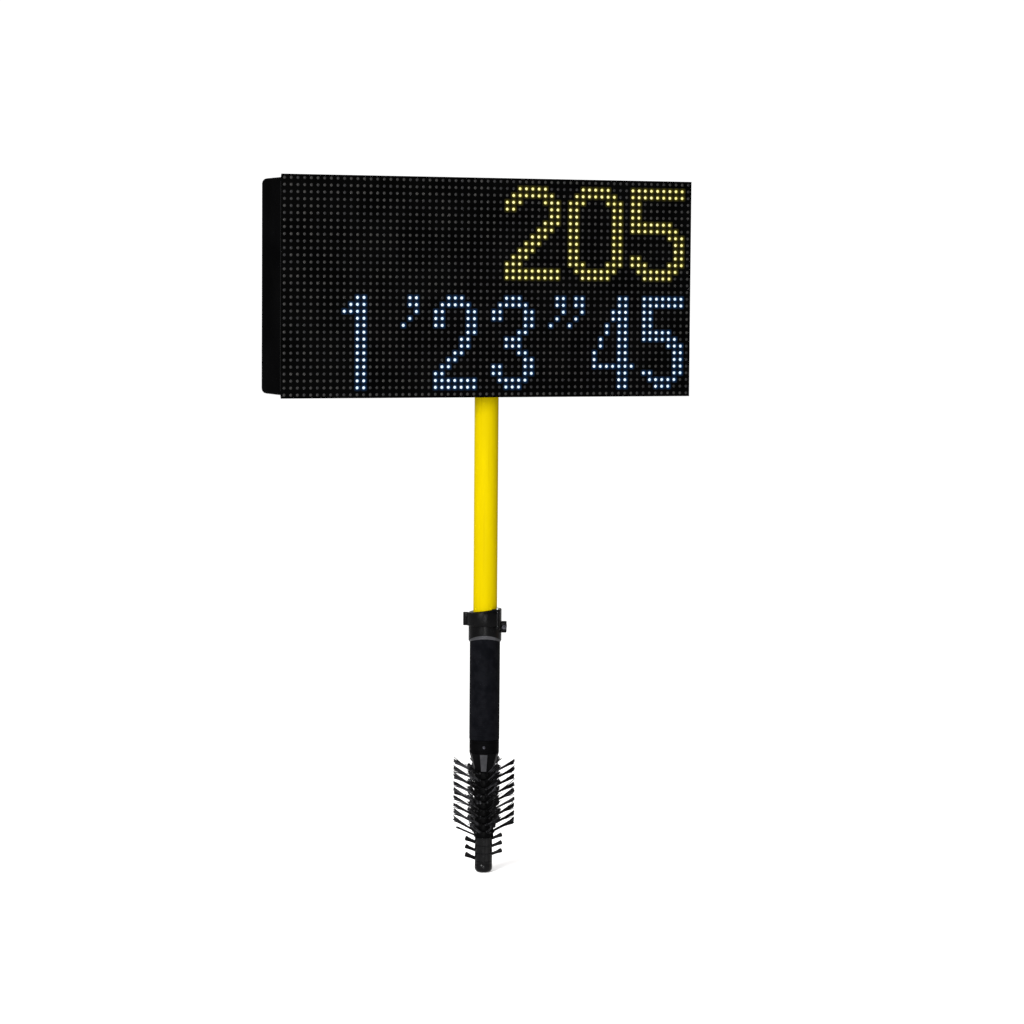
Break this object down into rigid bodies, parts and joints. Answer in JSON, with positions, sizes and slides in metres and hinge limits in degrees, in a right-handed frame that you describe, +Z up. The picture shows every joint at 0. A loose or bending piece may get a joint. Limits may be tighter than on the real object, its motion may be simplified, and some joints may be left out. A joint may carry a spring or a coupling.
{
  "type": "pole-mounted led display",
  "caption": "Portable dot-matrix LED display in a shallow black case that turns on a yellow pole, held by a cam-lever sleeve clamp over a bristle ground anchor.",
  "frame": {"origin": "on the pole's axis at ground level, where the cone ends and the brush starts", "axes": "+Z up along the pole; the display faces -Y; +X to the right of someone who stands behind the display and is to the viewer's right"},
  "size_m": [0.5118, 0.1043, 0.8235],
  "materials": {
    "black_plastic": "moulded glass-filled plastic, fine texture",
    "mask_plastic": "anti-glare matt black mask",
    "board_tray": "moulded plastic tray",
    "bristle": "extruded monofilament",
    "case_shell": "moulded shell, fine black texture",
    "steel": "zinc plated",
    "aluminium": "extruded, clear anodised",
    "rubber_grip": "matt moulded sleeve, fine texture",
    "rubber_seal": "matt",
    "yellow_pole": "smooth semi-gloss tube",
    "battery_wrap": "shrink sleeve",
    "circuit_board": "solder mask",
    "shield_can": "tinned sheet",
    "cable_jacket": "flexible jacket",
    "button_plastic": "moulded"
  },
  "bodies": {
    "base": {"brush_core": "steel", "brush_tip": "black_plastic", "bristle_tier_1": "bristle", "bristle_tier_2": "bristle", "bristle_tier_3": "bristle", "bristle_tier_4": "bristle", "bristle_tier_5": "bristle", "bristle_tier_6": "bristle", "bristle_tier_7": "bristle", "bristle_tier_8": "bristle", "bristle_tier_9": "bristle", "stub_tier_1": "bristle", "stub_tier_2": "bristle", "stub_tier_3": "bristle", "anchor_cone": "black_plastic", "lock_ring": "black_plastic", "ring_screw": "steel", "ground_sleeve": "aluminium", "grip_sleeve": "rubber_grip", "pole_stop": "rubber_seal", "clamp_collar": "black_plastic", "pinch_screw": "steel", "pinch_nut": "steel", "lever_pin": "steel"},
    "lever": {"clamp_lever": "black_plastic"},
    "pole": {"pole": "yellow_pole", "pole_foot_plug": "black_plastic", "pole_top_plug": "black_plastic"},
    "display": {"led_mask_lower_left": "mask_plastic", "led_mask_lower_right": "mask_plastic", "led_mask_upper_left": "mask_plastic", "led_mask_upper_right": "mask_plastic", "led_board_lower_left": "board_tray", "led_board_lower_right": "board_tray", "led_board_upper_left": "board_tray", "led_board_upper_right": "board_tray", "module_cross": "aluminium", "case_tray": "case_shell", "case_gasket": "rubber_seal", "pole_socket": "aluminium", "socket_screw_1": "steel", "socket_screw_2": "steel", "battery_pack": "battery_wrap", "battery_cradle": "aluminium", "controller_board": "circuit_board", "radio_module": "shield_can", "power_converter": "aluminium", "power_harness": "cable_jacket", "button_bezel": "steel", "charge_socket": "black_plastic", "service_cover": "case_shell", "cover_screw_1": "steel", "cover_screw_2": "steel", "cover_screw_3": "steel", "cover_screw_4": "steel"},
    "knob": {"swivel_knob": "black_plastic"},
    "button": {"power_button": "button_plastic"},
    "cap": {"charge_cap": "rubber_seal"}
  },
  "joints": [
    {"name": "lever_open", "type": "hinge", "parent": "base", "child": "lever", "pos_m": [0.00809, -0.02003, 0.183], "axis": [0, 0, 1], "range_deg": [0, 120]},
    {"name": "pole_height", "type": "slide", "parent": "base", "child": "pole", "axis": [0, 0, 1], "range_m": [0, 0.08]},
    {"name": "display_swivel", "type": "hinge", "parent": "pole", "child": "display", "pos_m": [0, 0, 0.4465], "axis": [0, 0, 1], "continuous": true},
    {"name": "knob_turn", "type": "hinge", "parent": "display", "child": "knob", "pos_m": [0, 0.054, 0.4905], "axis": [0, 1, 0], "range_deg": [0, 360]},
    {"name": "button_press", "type": "slide", "parent": "display", "child": "button", "axis": [0, -1, 0], "range_m": [0, 0.003], "stiffness_N_per_m": 300, "springref_m": -0.001},
    {"name": "cap_flip", "type": "hinge", "parent": "display", "child": "cap", "pos_m": [0.1635, 0.058, 0.6185], "axis": [1, 0, 0], "range_deg": [0, 110]}
  ]
}
